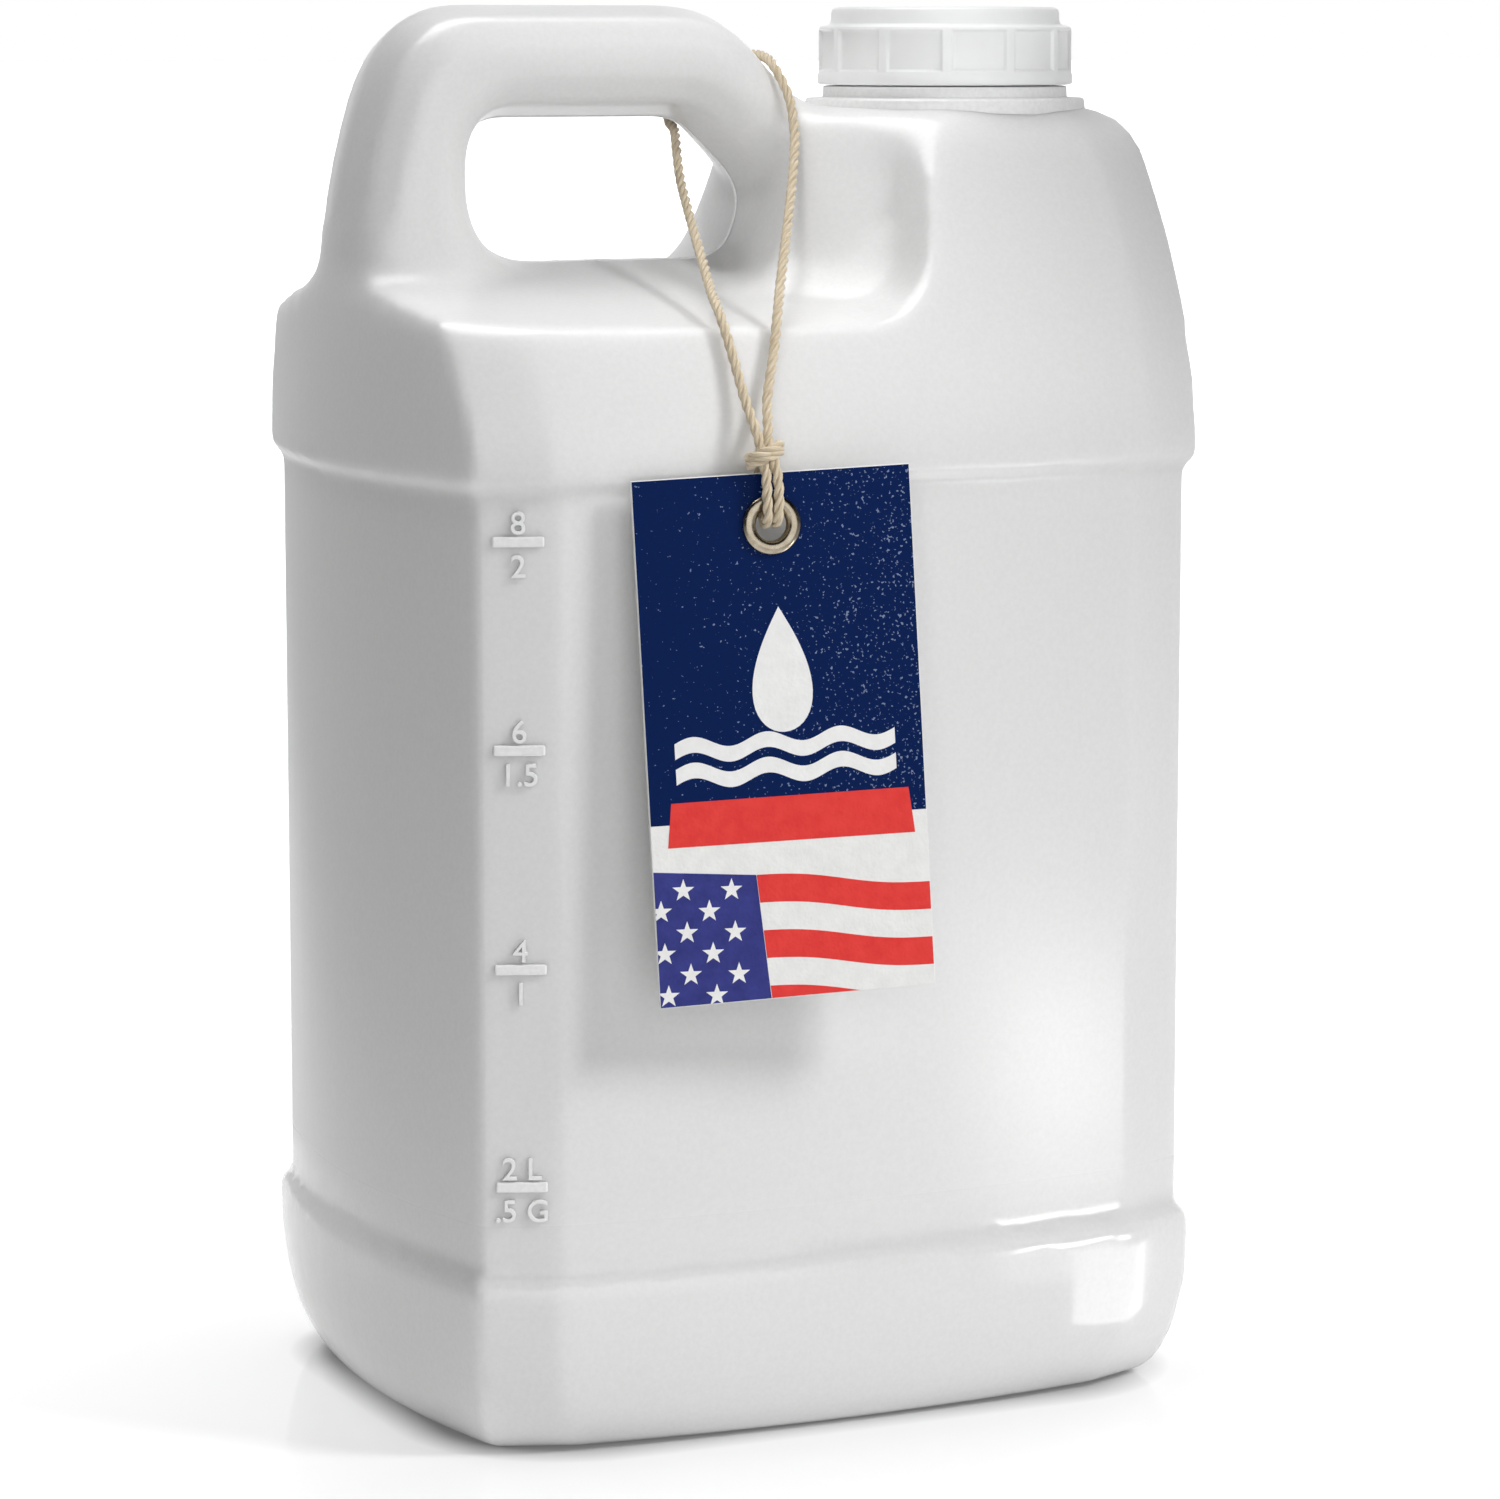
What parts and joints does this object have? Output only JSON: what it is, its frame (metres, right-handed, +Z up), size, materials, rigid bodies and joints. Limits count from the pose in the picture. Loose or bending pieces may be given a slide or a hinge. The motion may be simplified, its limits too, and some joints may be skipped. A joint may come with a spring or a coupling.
{
  "type": "plastic water carboy",
  "caption": "Rectangular blow-moulded plastic jug with a moulded carry handle, a ribbed screw cap and a card tag hung on a loop of twine.",
  "frame": {"origin": "centre of the base on the surface the jug stands on", "axes": "+Z up, the handle is at -X and the neck at +X, the front with the tag looks along -Y"},
  "size_m": [0.229, 0.1966, 0.372],
  "materials": {
    "natural_hdpe": "milky, faintly translucent natural polyethylene with a satin moulded skin",
    "white_cap": "smooth white injection-moulded plastic",
    "printed_card": "stiff card with a grained laminate, printed navy, red and white",
    "nickel": "nickel-plated pressed eyelet",
    "jute": "natural laid twine"
  },
  "bodies": {
    "root": {"jug": "natural_hdpe", "cap": "white_cap", "tag": "printed_card", "eyelet": "nickel", "knot": "jute", "twine": "jute"}
  },
  "joints": []
}
